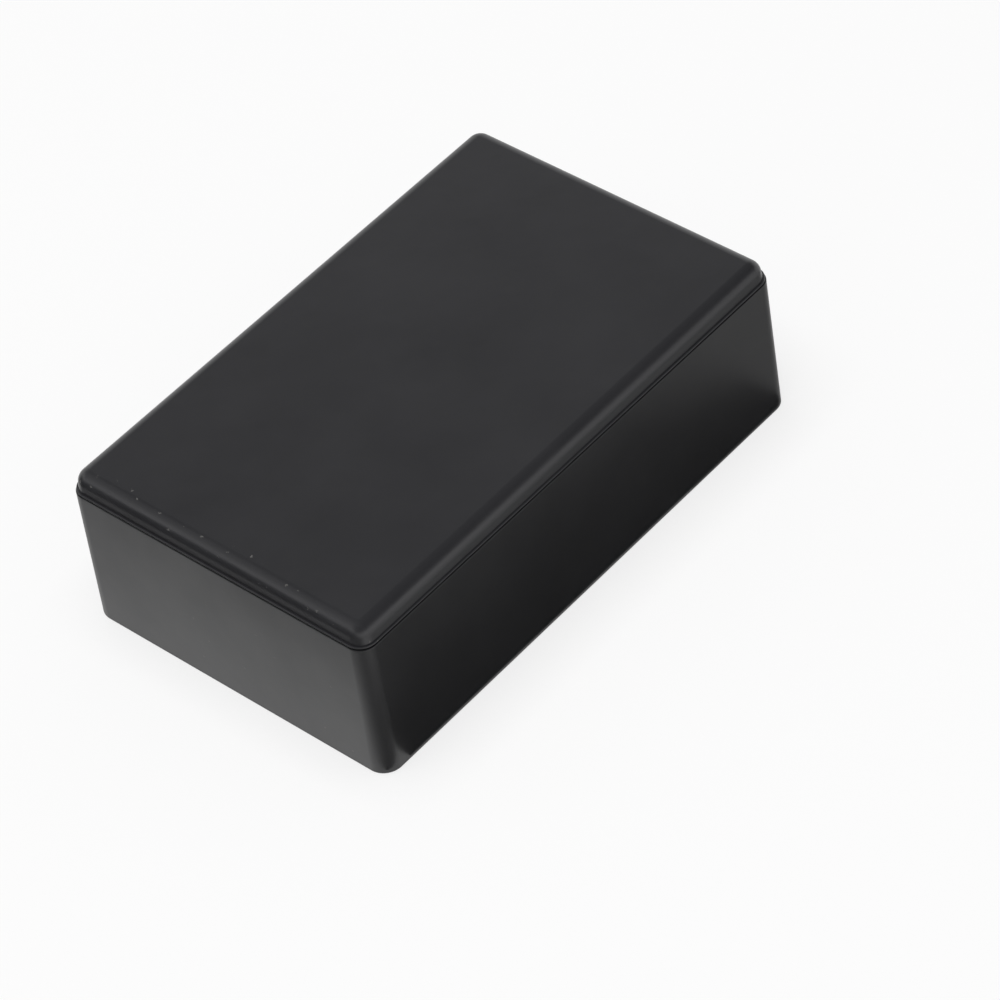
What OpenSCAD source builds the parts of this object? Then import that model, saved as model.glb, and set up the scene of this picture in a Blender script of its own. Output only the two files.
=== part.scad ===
// Small moulded ABS project box: a plain tub and a snap-fit lid.
//
// Frame: the origin is the middle of the base where it stands, +Z up. The long side runs along X
// and the short side along Y. The pry notches of the lid are at the +X end.
// Everything is in millimetres, and the lid is drawn where it sits when the box is shut.

/* [Tub] */
// Length of the tub at its open rim
rim_len = 80; // [76:1:140]
// Width of the tub at its open rim
rim_wid = 50; // [46:1:90]
// Height of the tub from the base it stands on to the rim
tub_h = 21.9; // [16:0.1:60]
// Thickness of the wall at the rim
wall_t = 1.6; // [1.4:0.1:1.8]
// Thickness of the floor
floor_t = 1.6; // [1.2:0.1:3]
// How far each wall leans in from the base to the rim, as mould shrink pulls an open tub in
wall_lean = 0.4; // [0:0.05:0.5]
// Plan radius of the upright corners, at the rim
corner_r = 2.5; // [2.5:0.1:3.2]
// Rounding of the outer edge of the rim
rim_edge_r = 0.1; // [0.1:0.05:0.5]
// Rounding of the edge around the base
base_edge_r = 0.4; // [0.2:0.05:0.8]

/* [Lid] */
// Height of the lid above the rim of the tub
lid_h = 3.1; // [2.6:0.1:3.4]
// Height above the rim of the narrow land at the foot of the lid, which is flush with the tub
land_h = 0.45; // [0.45:0.05:0.6]
// How far the side of the lid is set back from its land
land_step = 0.3; // [0.2:0.05:0.3]
// Open gap under the land, which shows round the shut box as a fine dark line
seam_gap = 0.25; // [0.15:0.05:0.25]
// Radius of the rounding that runs all round the top of the lid
lid_edge_r = 1.9; // [1:0.1:1.9]
// Draft of the side of the lid below that rounding, in degrees
lid_draft = 8; // [2:1:9]
// Thickness of the top plate
plate_t = 1.7; // [1.2:0.1:2]
// Gap between the skirt of the lid and the wall of the tub
skirt_gap = 0.1; // [0.05:0.05:0.2]
// Thickness of the skirt that plugs into the tub
skirt_t = 1; // [0.8:0.05:1.2]
// How far the skirt reaches down into the tub
skirt_h = 2.4; // [2:0.1:4]

/* [Snaps] */
// Length of each snap on the long sides
side_snap_len = 8; // [4:0.5:10]
// Distance of the side snaps from the middle of the box
side_snap_x = 26.6; // [12:0.1:28]
// Length of each snap at the notched end
end_snap_len = 4.5; // [3:0.5:6]
// Distance of the end snaps from the middle of the box
end_snap_y = 12.7; // [6:0.1:14]
// How far a snap stands out from the skirt
snap_out = 0.7; // [0.4:0.05:0.75]
// Height of a snap, up from the free edge of the skirt
snap_h = 1; // [0.8:0.1:1.4]
// Width of the pry notch beside each end snap
notch_w = 5; // [4:0.5:7]
// Height of a pry notch above the rim
notch_h = 1.5; // [1:0.1:1.7]

/* [Marks] */
// Diameter of the ejector pins that push the lid out of its mould
pin_d = 5; // [3:0.5:6]
// Depth of the mark each ejector pin leaves
pin_mark = 0.1; // [0.05:0.05:0.2]

/* [Hidden] */
$fn = 96;

tub_black = "#28282b";
lid_black = "#2b2b2e";

// Outline of the lid at its land, a hair inside the tub, and its ledge from there in to the skirt
land_gap = 0.05;
lid_len = rim_len - 2 * land_gap;
lid_wid = rim_wid - 2 * land_gap;
lid_corner_r = corner_r - land_gap;
ledge_w = wall_t + skirt_gap - land_gap;
skirt_in = ledge_w + skirt_t;

// Depth of the gap under the land, and rounding of the upper edge of the land
seam_depth = 0.7;
land_edge_r = 0.15;

// Chamfer along the free edge of the skirt, and radius of its inner corners
skirt_chamfer = 0.2;
skirt_corner_r = 0.5;

// Each snap is a barb: a lead-in to its crest, a short crest and a slope back to the skirt
lead_out = 0.7 * snap_out;
crest_low = 0.3 * snap_h;
crest_high = 0.6 * snap_h;

// The snaps run down channels in the wall that are open at the rim
channel_gap = 0.15;
channel_out = snap_out + channel_gap;
channel_side = 0.25;
channel_below = 0.4;
channel_bottom = tub_h - skirt_h - channel_below;

// Distance of the ejector pins in from the skirt, at the middle of each side
pin_in = 4.6;

// How far a cutter runs on past the face it cuts
overcut = 0.5;

// A swept section stops this short of the axis of its corners, and the core laps over the gap
axis_gap = 0.02;
core_lap = 0.05;

// Centre of a circle of radius r, tangent to the level line at height z and to the wall line
// that crosses z = 0 at x0 and leans in by a degrees. up is 1 when the body is below that level.
function blend_x(z, r, x0, a, up) = x0 - (z - up * r) * tan(a) - r / cos(a);

// Where a section that is swept with corner radius r ends, next to the axis of the corners
function core_x(r) = axis_gap - r;

// Sweeps an upright section round a rounded rectangle: four quarter turns and four straight runs.
// The section has x = 0 at the outline and x below zero inside it, and z is drawn as y.
module sweep_round(length, width, r) {
    run_x = length / 2 - r;
    run_y = width / 2 - r;
    for (turn = [0, 180]) rotate(turn) {
        translate([run_x, run_y, 0]) rotate_extrude(angle = 90) translate([r, 0]) children();
        translate([-run_x, run_y, 0]) rotate(90) rotate_extrude(angle = 90) translate([r, 0]) children();
        translate([run_x, 0, 0]) rotate([90, 0, 0])
            linear_extrude(height = 2 * run_y, center = true) translate([r, 0]) children();
        translate([0, run_y, 0]) rotate([90, 0, 90])
            linear_extrude(height = 2 * run_x, center = true) translate([r, 0]) children();
    }
}

// The block inside the corner centres of a rounded rectangle, which fills its swept section
module core(length, width, r, z_low, z_high) {
    half_x = length / 2 - r + core_lap;
    half_y = width / 2 - r + core_lap;
    translate([-half_x, -half_y, z_low]) cube([2 * half_x, 2 * half_y, z_high - z_low]);
}

// Puts its children on the inner side of every snap: x out through the wall, y along it
module at_side_snaps(y_face) {
    for (side = [0, 1], end = [-1, 1]) mirror([0, side, 0])
        translate([end * side_snap_x, y_face, 0]) rotate(90) children();
}

module at_end_snaps(x_face) {
    for (end = [-1, 1]) translate([x_face, end * end_snap_y, 0]) children();
}

// Section of the wall and the floor of the tub
module tub_section() {
    lean = atan(wall_lean / tub_h);
    rim_x = blend_x(tub_h, rim_edge_r, wall_lean, lean, 1);
    base_x = blend_x(0, base_edge_r, wall_lean, lean, -1);
    rim_z = tub_h - rim_edge_r;
    polygon([
        [core_x(corner_r), 0], [base_x, 0], [base_x, base_edge_r],
        [base_x + base_edge_r * cos(lean), base_edge_r * (1 + sin(lean))],
        [rim_x + rim_edge_r * cos(lean), rim_z + rim_edge_r * sin(lean)],
        [rim_x, rim_z], [rim_x, tub_h], [-wall_t, tub_h],
        [-wall_t, floor_t], [core_x(corner_r), floor_t]
    ]);
    translate([base_x, base_edge_r]) circle(base_edge_r);
    translate([rim_x, rim_z]) circle(rim_edge_r);
}

module tub() color(tub_black) difference() {
    union() {
        sweep_round(rim_len, rim_wid, corner_r) tub_section();
        core(rim_len, rim_wid, corner_r, 0, floor_t);
    }
    at_side_snaps(rim_wid / 2 - wall_t) snap_channel(side_snap_len);
    at_end_snaps(rim_len / 2 - wall_t) snap_channel(end_snap_len);
}

// Channel in the wall for one snap, open at the rim
module snap_channel(length) {
    along = length + 2 * channel_side;
    translate([-overcut, -along / 2, channel_bottom])
        cube([overcut + channel_out, along, tub_h + overcut - channel_bottom]);
}

// Section of the lid, with z = 0 at its ledge: skirt, flush land, drafted side and big rounding
module lid_section() {
    edge_x = blend_x(lid_h, lid_edge_r, -land_step, lid_draft, 1);
    edge_z = lid_h - lid_edge_r;
    foot_x = -land_step - land_h * tan(lid_draft);
    polygon([
        [core_x(lid_corner_r), -skirt_h], [-ledge_w - skirt_chamfer, -skirt_h],
        [-ledge_w, skirt_chamfer - skirt_h], [-ledge_w, 0],
        [-seam_depth, 0], [-seam_depth, seam_gap], [0, seam_gap],
        [0, land_h - land_edge_r], [-land_edge_r, land_h - land_edge_r],
        [-land_edge_r, land_h], [foot_x, land_h],
        [edge_x + lid_edge_r * cos(lid_draft), edge_z + lid_edge_r * sin(lid_draft)],
        [edge_x, edge_z], [edge_x, lid_h], [core_x(lid_corner_r), lid_h]
    ]);
    quarter_disc(-land_edge_r, land_h - land_edge_r, land_edge_r);
    quarter_disc(edge_x, edge_z, lid_edge_r);
}

// Fills the outer and upper quarter of a rounding of radius r
module quarter_disc(x, z, r) {
    translate([x, z]) intersection() {
        circle(r);
        square(r);
    }
}

// Hollow inside the skirt, up to the underside of the plate
module lid_hollow() {
    run_x = lid_len / 2 - skirt_in;
    run_y = lid_wid / 2 - skirt_in;
    low = -skirt_h - overcut;
    high = lid_h - plate_t;
    translate([skirt_corner_r - run_x, -run_y, low])
        cube([2 * (run_x - skirt_corner_r), 2 * run_y, high - low]);
    translate([-run_x, skirt_corner_r - run_y, low])
        cube([2 * run_x, 2 * (run_y - skirt_corner_r), high - low]);
    for (x = [-1, 1], y = [-1, 1])
        translate([x * (run_x - skirt_corner_r), y * (run_y - skirt_corner_r), low])
            cylinder(r = skirt_corner_r, h = high - low);
}

// Snap: a barbed ridge along the free edge of the skirt, with a lead-in below its crest
module snap(length) {
    root = -skirt_chamfer;
    rotate([90, 0, 0]) linear_extrude(height = length, center = true) polygon([
        [root, 0], [lead_out, 0], [snap_out, crest_low],
        [snap_out, crest_high], [0, snap_h], [root, snap_h]
    ]);
}

// Pry notch through the ledge and the side of the lid, down to the skirt
module pry_notch() {
    translate([0, -notch_w / 2, -overcut]) cube([ledge_w + overcut, notch_w, overcut + notch_h]);
}

module snap_lid() color(lid_black) translate([0, 0, tub_h]) difference() {
    union() {
        sweep_round(lid_len, lid_wid, lid_corner_r) lid_section();
        core(lid_len, lid_wid, lid_corner_r, -skirt_h, lid_h);
        translate([0, 0, -skirt_h]) {
            at_side_snaps(lid_wid / 2 - ledge_w) snap(side_snap_len);
            at_end_snaps(lid_len / 2 - ledge_w) snap(end_snap_len);
        }
    }
    lid_hollow();
    at_end_snaps(lid_len / 2 - ledge_w) pry_notch();
    ejector_marks();
}

// Round marks of the four ejector pins, in the underside of the plate
module ejector_marks() {
    pin_x = lid_len / 2 - skirt_in - pin_in;
    pin_y = lid_wid / 2 - skirt_in - pin_in;
    for (place = [[pin_x, 0], [-pin_x, 0], [0, pin_y], [0, -pin_y]])
        translate([place[0], place[1], lid_h - plate_t - overcut])
            cylinder(d = pin_d, h = overcut + pin_mark);
}

tub();
snap_lid();
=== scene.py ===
from math import cos, radians, sin, tan

import bmesh
import bpy
from mathutils import Matrix, Vector


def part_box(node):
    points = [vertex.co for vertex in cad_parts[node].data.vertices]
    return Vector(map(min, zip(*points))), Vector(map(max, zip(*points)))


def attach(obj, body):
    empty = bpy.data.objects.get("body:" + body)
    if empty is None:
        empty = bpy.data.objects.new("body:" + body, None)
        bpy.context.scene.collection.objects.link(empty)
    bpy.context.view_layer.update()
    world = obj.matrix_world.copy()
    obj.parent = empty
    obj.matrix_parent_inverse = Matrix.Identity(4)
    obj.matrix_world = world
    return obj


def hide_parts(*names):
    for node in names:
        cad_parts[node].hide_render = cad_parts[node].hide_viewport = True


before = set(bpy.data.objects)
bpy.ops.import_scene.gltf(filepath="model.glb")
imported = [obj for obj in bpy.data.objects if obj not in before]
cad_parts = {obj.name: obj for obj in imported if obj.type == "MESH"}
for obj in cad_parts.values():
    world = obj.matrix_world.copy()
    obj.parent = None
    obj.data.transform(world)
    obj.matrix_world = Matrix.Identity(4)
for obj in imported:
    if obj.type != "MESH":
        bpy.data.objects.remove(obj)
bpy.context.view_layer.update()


# Tub: one moulding in satin black ABS, a floor and four walls that lean in a little as an open
# moulding does. The rim is rounded over outside, and channels in the wall take the snaps of the lid.
rim_z = 1000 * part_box("tub")[1].z
rim_len = 80
rim_wid = 50
wall_lean = 0.395
wall_t = 1.6
floor_t = 1.6
rim_corner_r = 2.3
rim_edge_r = 0.1
base_edge_r = 0.15
inner_edge_r = 0.08
side_snap_x = 26.6
side_snap_len = 8
end_snap_y = 12.7
end_snap_len = 4.5
channel_side = 0.25
channel_depth = 0.85
channel_bottom = 19.1


def rounded_face(shape, length, width, corner_r, z):
    """One flat face looking up, a rectangle with rounded corners."""
    bmesh.ops.create_grid(shape, x_segments=1, y_segments=1, size=0.5)
    bmesh.ops.scale(shape, vec=(length, width, 1), verts=shape.verts)
    bmesh.ops.translate(shape, vec=(0, 0, z), verts=shape.verts)
    bmesh.ops.bevel(
        shape, geom=shape.verts[:], offset=corner_r, offset_type="OFFSET", segments=16,
        profile=0.5, affect="VERTICES", material=-1, clamp_overlap=False)
    return shape.faces[:][0]


def step(shape, face, inwards, outwards):
    """Moves a face in from its outline and out along its normal, and returns the edges it leaves."""
    band = bmesh.ops.inset_region(
        shape, faces=[face], thickness=inwards, depth=outwards,
        use_boundary=True, use_even_offset=True)["faces"]
    return [
        edge for quad in band for edge in quad.edges
        if edge not in face.edges[:] and sum(side in band for side in edge.link_faces) == 1]


def close_under(shape):
    """Closes the open outline with one face, and returns it."""
    outline = [edge for edge in shape.edges if edge.is_boundary]
    made = bmesh.ops.contextual_create(shape, geom=outline)["faces"]
    bmesh.ops.recalc_face_normals(shape, faces=shape.faces[:])
    return made[0]


def round_over(shape, edges, radius, segments, turn=90):
    """Rounds edges where the surface turns by so many degrees."""
    bmesh.ops.bevel(
        shape, geom=edges, offset=radius * tan(radians(turn) / 2), offset_type="OFFSET",
        segments=segments, profile=0.5, affect="EDGES", material=-1, clamp_overlap=False)


def box(shape, low, high):
    """Adds an upright box between two opposite corners."""
    low, high = Vector(low), Vector(high)
    corners = bmesh.ops.create_cube(shape, size=1)["verts"]
    bmesh.ops.scale(shape, vec=high - low, verts=corners)
    bmesh.ops.translate(shape, vec=(low + high) / 2, verts=corners)
    return corners


def moulding(name, shape):
    """Turns a shape in millimetres into a mesh object in metres."""
    bmesh.ops.scale(shape, vec=(0.001, 0.001, 0.001), verts=shape.verts)
    mesh = bpy.data.meshes.new(name)
    shape.to_mesh(mesh)
    shape.free()
    piece = bpy.data.objects.new(name, mesh)
    bpy.context.scene.collection.objects.link(piece)
    return piece


def finish_with(piece, kind, **settings):
    """Adds a modifier to a piece and applies it."""
    modifier = piece.modifiers.new(kind.lower(), kind)
    for name, value in settings.items():
        setattr(modifier, name, value)
    with bpy.context.temp_override(object=piece, active_object=piece):
        bpy.ops.object.modifier_apply(modifier=modifier.name)


def combine(piece, shape, operation):
    """Cuts a shape in millimetres out of a moulding, or joins it to the moulding."""
    other = moulding("other", shape)
    finish_with(piece, "BOOLEAN", operation=operation, solver="EXACT", object=other)
    bpy.data.objects.remove(other)


def break_edges(piece, width):
    """Takes the knife edge off every corner that is still sharp."""
    finish_with(
        piece, "BEVEL", width=width / 1000, segments=2, limit_method="ANGLE",
        angle_limit=radians(50), use_clamp_overlap=True, harden_normals=False)


def smooth_faces(piece):
    """Shades flat walls flat, and the roundings between them smooth."""
    piece.data.shade_smooth()
    piece.data.set_sharp_from_angle(angle=radians(48))
    finish_with(piece, "WEIGHTED_NORMAL", mode="FACE_AREA", weight=80, keep_sharp=True)


def linear(colour):
    """A written sRGB colour, such as #28282b, as the linear colour that shaders take."""
    parts = [int(colour[i:i + 2], 16) / 255 for i in (1, 3, 5)]
    return tuple(c / 12.92 if c <= 0.04045 else ((c + 0.055) / 1.055) ** 2.4 for c in parts) + (1,)


def add(tree, kind, inputs=(), **settings):
    """Adds one node with its settings. Each input takes a value, or the socket that feeds it."""
    node = tree.nodes.new(kind)
    for name, value in settings.items():
        setattr(node, name, value)
    for name, value in dict(inputs).items():
        if isinstance(value, bpy.types.NodeSocket):
            tree.links.new(value, node.inputs[name])
        else:
            node.inputs[name].default_value = value
    return node


def maths(tree, operation, first, second=0):
    """One sum on sockets or plain numbers."""
    return add(tree, "ShaderNodeMath", {0: first, 1: second}, operation=operation).outputs[0]


# Black ABS, with lengths in millimetres: its marks have so many to the millimetre, and its relief
# is so high.
abs_ior = 1.56
clouds_per_mm = 0.08
roughness_swing = 0.03
dust_colour = "#8c8a86"
dust_per_mm = 1
dust_ragged_per_mm = 5
dust_stray = 0.6
dust_r = 0.15
dust_cover = 0.35
dust_dullness = 0.3
dust_end_x = -37
swell_per_mm = 0.3
swell_h = 0.02
grain_per_mm = 6
grain_h = 0.006
grain_strength = 0.5


def moulded_abs(name, colours, roughness, shift, edge_dust):
    """Black ABS as it leaves a fine-sparked mould: satin, with faint flow marks and a little dust."""
    material = bpy.data.materials.new(name)
    material.use_nodes = True
    tree = material.node_tree
    surface = tree.nodes["Principled BSDF"]
    surface.inputs["IOR"].default_value = abs_ior

    # Millimetres on the object, shifted so that no two mouldings share their marks.
    place = add(tree, "ShaderNodeTexCoord").outputs["Object"]
    in_mm = add(tree, "ShaderNodeMapping", {
        "Vector": place, "Location": (shift, -shift, 0.7 * shift), "Scale": (1000, 1000, 1000),
    }).outputs["Vector"]

    # Cloudy patches some 12 mm across, where the melt cooled a little sooner or later.
    clouds = add(tree, "ShaderNodeTexNoise", {
        "Vector": in_mm, "Scale": clouds_per_mm, "Detail": 3, "Roughness": 0.55}).outputs["Fac"]
    tint = add(tree, "ShaderNodeMix", {
        "Factor": clouds, "A": linear(colours[0]), "B": linear(colours[1])},
        data_type="RGBA").outputs["Result"]
    satin = add(tree, "ShaderNodeMapRange", {
        "Value": clouds, "From Min": 0.3, "From Max": 0.7,
        "To Min": roughness - roughness_swing, "To Max": roughness + roughness_swing}).outputs["Result"]

    # Dust and fluff: ragged specks up to 0.3 mm across, one in a few of the 1 mm cells along the
    # plain end, where the box is handled.
    ragged = add(tree, "ShaderNodeTexNoise", {
        "Vector": in_mm, "Scale": dust_ragged_per_mm, "Detail": 1}).outputs["Color"]
    strayed = add(tree, "ShaderNodeVectorMath", {
        0: ragged, 1: (dust_stray,) * 3, 2: in_mm}, operation="MULTIPLY_ADD").outputs["Vector"]
    cells = add(tree, "ShaderNodeTexVoronoi", {"Vector": strayed, "Scale": dust_per_mm})
    lot = add(tree, "ShaderNodeSeparateColor", {"Color": cells.outputs["Color"]}).outputs["Red"]
    along = add(tree, "ShaderNodeSeparateXYZ", {"Vector": place}).outputs["X"]
    at_plain_end = maths(tree, "LESS_THAN", along, dust_end_x / 1000)
    chosen = maths(tree, "LESS_THAN", lot, maths(tree, "MULTIPLY", at_plain_end, edge_dust))
    speck_r = maths(tree, "MULTIPLY", chosen, dust_r)
    speck = maths(tree, "LESS_THAN", cells.outputs["Distance"], speck_r)
    dusty = add(tree, "ShaderNodeMix", {
        "Factor": maths(tree, "MULTIPLY", speck, dust_cover), "A": tint, "B": linear(dust_colour)},
        data_type="RGBA").outputs["Result"]
    tree.links.new(dusty, surface.inputs["Base Color"])
    dull = maths(tree, "ADD", satin, maths(tree, "MULTIPLY", speck, dust_dullness))
    tree.links.new(dull, surface.inputs["Roughness"])

    # The mould was stoned by hand, so its faces swell a few micrometres every 3 mm or so. Over that
    # lies its spark-eroded grain, about 0.15 mm across.
    swell = add(tree, "ShaderNodeTexNoise", {
        "Vector": in_mm, "Scale": swell_per_mm, "Detail": 1}).outputs["Fac"]
    uneven = add(tree, "ShaderNodeBump", {
        "Height": swell, "Strength": 1, "Distance": swell_h / 1000}).outputs["Normal"]
    grain = add(tree, "ShaderNodeTexNoise", {
        "Vector": in_mm, "Scale": grain_per_mm, "Detail": 2, "Roughness": 0.6}).outputs["Fac"]
    relief = add(tree, "ShaderNodeBump", {
        "Height": grain, "Normal": uneven, "Strength": grain_strength,
        "Distance": grain_h / 1000}).outputs["Normal"]
    tree.links.new(relief, surface.inputs["Normal"])
    return material


shape = bmesh.new()
inner_floor = rounded_face(
    shape, rim_len + 2 * wall_lean, rim_wid + 2 * wall_lean, rim_corner_r + wall_lean, 0)
base_edges = step(shape, inner_floor, wall_lean, rim_z)
rim_edges = step(shape, inner_floor, wall_t, 0)
inner_edges = step(shape, inner_floor, 0, floor_t - rim_z)
close_under(shape)
round_over(shape, rim_edges, rim_edge_r, 6)
round_over(shape, inner_edges, inner_edge_r, 2)
round_over(shape, base_edges, base_edge_r, 6)
tub = moulding("tub_moulding", shape)

# Channels in the wall, two in each long side and two at the notched end.
snap_rows = [
    (side * off_middle, length / 2, turn, reach)
    for turn, reach, off_middle, length in (
        (90, rim_wid / 2, side_snap_x, side_snap_len),
        (-90, rim_wid / 2, side_snap_x, side_snap_len),
        (0, rim_len / 2, end_snap_y, end_snap_len))
    for side in (1, -1)]
shape = bmesh.new()
for centre, half_len, turn, reach in snap_rows:
    corners = box(
        shape, (reach - wall_t - 0.5, centre - half_len - channel_side, channel_bottom),
        (reach - wall_t + channel_depth, centre + half_len + channel_side, rim_z + 1))
    bmesh.ops.rotate(shape, matrix=Matrix.Rotation(radians(turn), 3, "Z"), verts=corners)
combine(tub, shape, "DIFFERENCE")
break_edges(tub, 0.05)
smooth_faces(tub)
tub.data.materials.append(moulded_abs("moulded ABS, tub", ("#1c1c1e", "#222224"), 0.41, 0, 0.015))
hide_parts("tub")
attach(tub, "tub")


# Lid: one moulding in the same ABS. A narrow land at its foot meets the tub, the side steps in above
# it and runs into a big rounding, and a skirt with barbed snaps plugs into the tub.
lid_z = 1000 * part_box("snap_lid")[1].z
skirt_z = 1000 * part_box("snap_lid")[0].z
land_gap = 0.05
lid_corner_r = 2.45
seam_gap = 0.25
seam_depth = 0.7
land_h = 0.45
land_step = 0.22
land_edge_r = 0.15
lid_draft = 8
lid_edge_r = 1.9
plate_t = 1.7
ledge_w = 1.65
skirt_t = 1
skirt_chamfer = 0.2
skirt_corner_r = 0.5
snap_out = 0.7
snap_h = 1
notch_w = 5
notch_h = 1.5
pin_in = 4.6
pin_r = 2.5
pin_mark = 0.1
lid_len = rim_len - 2 * land_gap
lid_wid = rim_wid - 2 * land_gap

shape = bmesh.new()
lid_top = rounded_face(shape, lid_len, lid_wid, lid_corner_r, rim_z + seam_gap)
side_h = lid_z - rim_z - land_h
step(shape, lid_top, 0, land_h - seam_gap)
land_edges = step(shape, lid_top, land_step + land_h * tan(radians(lid_draft)), 0)
step(shape, lid_top, side_h * tan(radians(lid_draft)), side_h)
round_over(shape, lid_top.edges[:], lid_edge_r, 14, 90 - lid_draft)
skirt_foot = close_under(shape)
step(shape, skirt_foot, seam_depth, 0)
step(shape, skirt_foot, 0, seam_gap)
step(shape, skirt_foot, ledge_w - seam_depth, 0)
step(shape, skirt_foot, 0, rim_z - skirt_z - skirt_chamfer)
step(shape, skirt_foot, skirt_chamfer, skirt_chamfer)
round_over(shape, land_edges, land_edge_r, 5)
lid = moulding("lid_moulding", shape)

# Hollow inside the skirt, up to the underside of the plate.
skirt_in = ledge_w + skirt_t
shape = bmesh.new()
hollow = rounded_face(
    shape, lid_len - 2 * skirt_in, lid_wid - 2 * skirt_in, skirt_corner_r, skirt_z - 1)
step(shape, hollow, 0, lid_z - plate_t - skirt_z + 1)
close_under(shape)
combine(lid, shape, "DIFFERENCE")

# Snaps: a barbed ridge along the free edge of the skirt, with a lead-in below its crest.
shape = bmesh.new()
for centre, half_len, turn, reach in snap_rows:
    root = reach - land_gap - ledge_w
    outline = [
        shape.verts.new((root + out, centre - half_len, skirt_z + up))
        for out, up in (
            (-skirt_t / 2, 0), (0.7 * snap_out, 0), (snap_out, 0.3 * snap_h),
            (snap_out, 0.6 * snap_h), (0, snap_h), (-skirt_t / 2, snap_h))]
    ridge = bmesh.ops.extrude_face_region(shape, geom=[shape.faces.new(outline)])["geom"]
    far_end = [part for part in ridge if isinstance(part, bmesh.types.BMVert)]
    bmesh.ops.translate(shape, vec=(0, 2 * half_len, 0), verts=far_end)
    bmesh.ops.rotate(
        shape, matrix=Matrix.Rotation(radians(turn), 3, "Z"), verts=outline + far_end)
bmesh.ops.recalc_face_normals(shape, faces=shape.faces[:])
combine(lid, shape, "UNION")

# Pry notches above the end snaps, and the round marks of the ejector pins under the plate.
shape = bmesh.new()
for side in (-1, 1):
    box(shape, (rim_len / 2 - land_gap - ledge_w, side * end_snap_y - notch_w / 2, rim_z - 1),
        (rim_len / 2 + 1, side * end_snap_y + notch_w / 2, rim_z + notch_h))
pin_x = lid_len / 2 - skirt_in - pin_in
pin_y = lid_wid / 2 - skirt_in - pin_in
for x, y in ((pin_x, 0), (-pin_x, 0), (0, pin_y), (0, -pin_y)):
    bmesh.ops.create_cone(
        shape, cap_ends=True, segments=48, radius1=pin_r, radius2=pin_r, depth=1,
        matrix=Matrix.Translation((x, y, lid_z - plate_t + pin_mark - 0.5)))
combine(lid, shape, "DIFFERENCE")
smooth_faces(lid)
lid.data.materials.append(moulded_abs("moulded ABS, lid", ("#1f1f22", "#252528"), 0.33, 31, 0.35))
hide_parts("snap_lid")
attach(lid, "snap_lid")


# Floor: a wide sheet of matt white card under the box. Most of the white that is seen of it is its
# own, so that it stays white, and the rest takes the light and the shadow of the box.
floor_mesh = bmesh.new()
bmesh.ops.create_grid(floor_mesh, x_segments=1, y_segments=1, size=4)
floor_data = bpy.data.meshes.new("floor")
floor_mesh.to_mesh(floor_data)
floor_mesh.free()
floor = bpy.data.objects.new("floor", floor_data)
bpy.context.scene.collection.objects.link(floor)


def seen_directly(tree):
    """1 for what the camera sees, by itself or in a gloss or through glass, and 0 for light."""
    ray = add(tree, "ShaderNodeLightPath")
    seen = maths(tree, "MAXIMUM", ray.outputs["Is Camera Ray"], ray.outputs["Is Glossy Ray"])
    return maths(tree, "MAXIMUM", seen, ray.outputs["Is Transmission Ray"])


own_white = 0.7
card = bpy.data.materials.new("matt white card")
card.use_nodes = True
tree = card.node_tree
tree.nodes.clear()
matt = add(tree, "ShaderNodeBsdfDiffuse", {"Color": linear("#fafafa")}).outputs["BSDF"]
white = add(tree, "ShaderNodeEmission", {"Color": (1, 1, 1, 1), "Strength": 1}).outputs["Emission"]
both = add(tree, "ShaderNodeMixShader", {
    0: maths(tree, "MULTIPLY", seen_directly(tree), own_white), 1: matt, 2: white}).outputs["Shader"]
add(tree, "ShaderNodeOutputMaterial", {"Surface": both})
floor_data.materials.append(card)

# A hair below the box, so that the two never lie in one plane.
floor.location.z = -0.00005


# Panels that stand round the box and show only in its gloss: a ceiling cloth, a softbox and its spill
# behind the plain end, a bright strip before the long side, and cards on the floor by both near walls.
# box_middle is the height, in metres, from which their elevations are measured.
box_middle = 0.0235


def panel(name, outline, brightness):
    """A flat panel of even brightness that is seen in reflections and nowhere else."""
    sheet = bmesh.new()
    sheet.faces.new([sheet.verts.new(corner) for corner in outline])
    data = bpy.data.meshes.new(name)
    sheet.to_mesh(data)
    sheet.free()
    made = bpy.data.objects.new(name, data)
    bpy.context.scene.collection.objects.link(made)
    glow = bpy.data.materials.new(name)
    glow.use_nodes = True
    glow.node_tree.nodes.clear()
    light = add(glow.node_tree, "ShaderNodeEmission", {"Strength": brightness}).outputs["Emission"]
    add(glow.node_tree, "ShaderNodeOutputMaterial", {"Surface": light})
    data.materials.append(glow)
    made.visible_camera = False
    made.visible_diffuse = False
    made.visible_shadow = False
    made.visible_transmission = False


def upright(name, low, high, left, right, distance, brightness):
    """A panel between two bearings, and two heights above the middle of the box, in degrees."""
    middle, half = (left + right) / 2, (right - left) / 2
    reach = distance / cos(radians(half))
    panel(name, [
        (reach * cos(radians(middle + a)), reach * sin(radians(middle + a)),
         box_middle + distance * tan(radians(e)))
        for a, e in ((-half, low), (half, low), (half, high), (-half, high))], brightness)


def on_floor(name, outline, up, brightness):
    """A card that lies beside the box, a hair above the floor."""
    panel(name, [(x / 1000, y / 1000, up / 1000) for x, y in outline], brightness)


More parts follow.
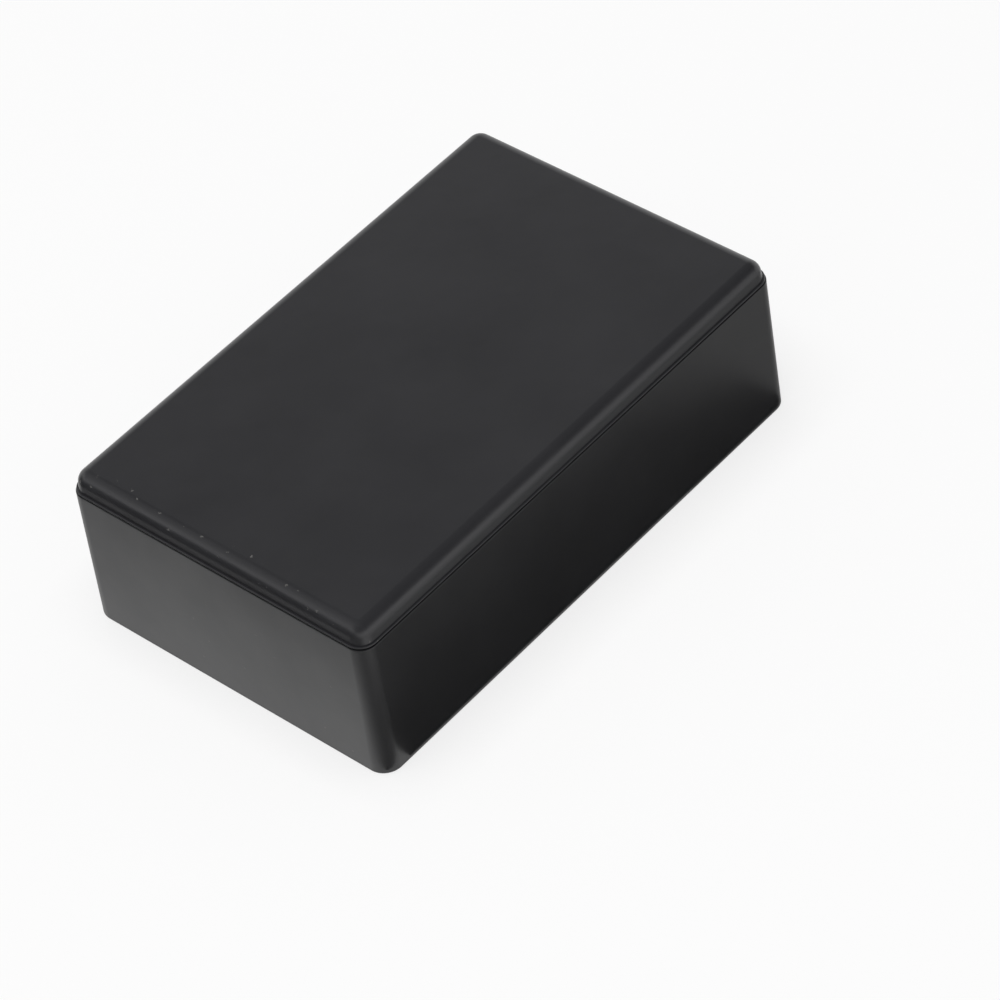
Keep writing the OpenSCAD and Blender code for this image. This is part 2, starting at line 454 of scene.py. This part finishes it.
panel("ceiling cloth", ((-3, -3, 1.5), (3, -3, 1.5), (3, 3, 1.5), (-3, 3, 1.5)), 0.2)
upright("softbox", 17, 32, 95, 185, 1.2, 1.22)
upright("softbox spill", 32, 45, 95, 185, 1.2, 0.8)
upright("softbox upper spill", 45, 62, 85, 170, 0.7, 0.52)
upright("card behind the plain end", -1, 17, 100, 200, 0.7, 0.07)
upright("wall behind the far corner", 10, 36, 15, 80, 1.5, 0.85)
upright("bright strip before the long side", 3, 25, -130, -66, 0.3, 1.3)
upright("dimmer end of the bright strip", 3, 25, -66, -35, 0.3, 0.86)
upright("dim wall before the long side", 28, 60, -95, -15, 0.8, 0.14)
on_floor("card by the plain end", (
    (-59, -14), (-59, 120), (-150, 700), (-800, 600), (-800, -300), (-62, -60)), 0.5, 0.09)
on_floor("card by the long side", (
    (-36, -25.4), (40, -25.4), (40, -33), (15, -52), (-36, -52)), 0.5, 0.04)
on_floor("bright card at the foot of the plain end", (
    (-40.4, -24), (-40.4, 25), (-45, 32), (-45, -17)), 0.4, 1.05)
on_floor("light grey card by the long side", (
    (-36, -25), (20, -25), (20, -95), (-36, -95)), 0.35, 0.68)
on_floor("grey card by the long side", (
    (20, -25), (60, -25), (130, -60), (130, -95), (20, -95)), 0.3, 0.4)
on_floor("pale floor before the long side", (
    (-120, -95), (200, -95), (400, -260), (-120, -260)), 0.3, 0.8)

# Three shades that fan out round the foot of the front corner.
foot_x = -39.6
foot_y = -24.6
shade_len = 30
for left, right, brightness in ((162, 190, 0.64), (190, 220, 0.36), (220, 306, 0.21)):
    on_floor("shade by the front corner", [(foot_x, foot_y)] + [
        (foot_x + shade_len * cos(radians(a)), foot_y + shade_len * sin(radians(a)))
        for a in (left, right)], 0.6, brightness)


# Light: one broad lamp almost overhead, and an even fill from all round. The lamp isn't seen in
# reflections, and the surroundings are white wherever they are seen, in reflections too.
lamp_size = 0.9
lamp_watts = 10.8
lamp_distance = 1.2
fill = 0.32
lamp = bpy.data.objects.new("main lamp", bpy.data.lights.new("main lamp", "AREA"))
bpy.context.scene.collection.objects.link(lamp)
lamp.data.shape = "SQUARE"
lamp.data.size = lamp_size
lamp.data.energy = lamp_watts
lamp.location = Vector((-0.12, -0.01, 0.99)).normalized() * lamp_distance
lamp.rotation_euler = lamp.location.to_track_quat("Z", "Y").to_euler()
lamp.visible_glossy = False

world = bpy.data.worlds.new("surroundings")
bpy.context.scene.world = world
world.use_nodes = True
tree = world.node_tree
tree.nodes.clear()
level = add(tree, "ShaderNodeMapRange", {
    "Value": seen_directly(tree), "To Min": fill, "To Max": 1}).outputs["Result"]
glow = add(tree, "ShaderNodeBackground", {
    "Color": (1, 1, 1, 1), "Strength": level}).outputs["Background"]
add(tree, "ShaderNodeOutputWorld", {"Surface": glow})


# Camera, looking down at the corner between a long side and the plain end.
camera = bpy.data.objects.new("camera", bpy.data.cameras.new("camera"))
bpy.context.scene.collection.objects.link(camera)
camera.data.lens = 159.93
camera.data.sensor_width = 36
camera.matrix_world = (
    Matrix.Translation((-0.275341, -0.304969, 0.408584))
    @ Matrix.Rotation(radians(-43.055), 4, "Z")
    @ Matrix.Rotation(radians(90 - 44.918), 4, "X")
    @ Matrix.Rotation(radians(-9.272), 4, "Z"))
bpy.context.scene.camera = camera
bpy.context.scene.view_settings.view_transform = "Standard"
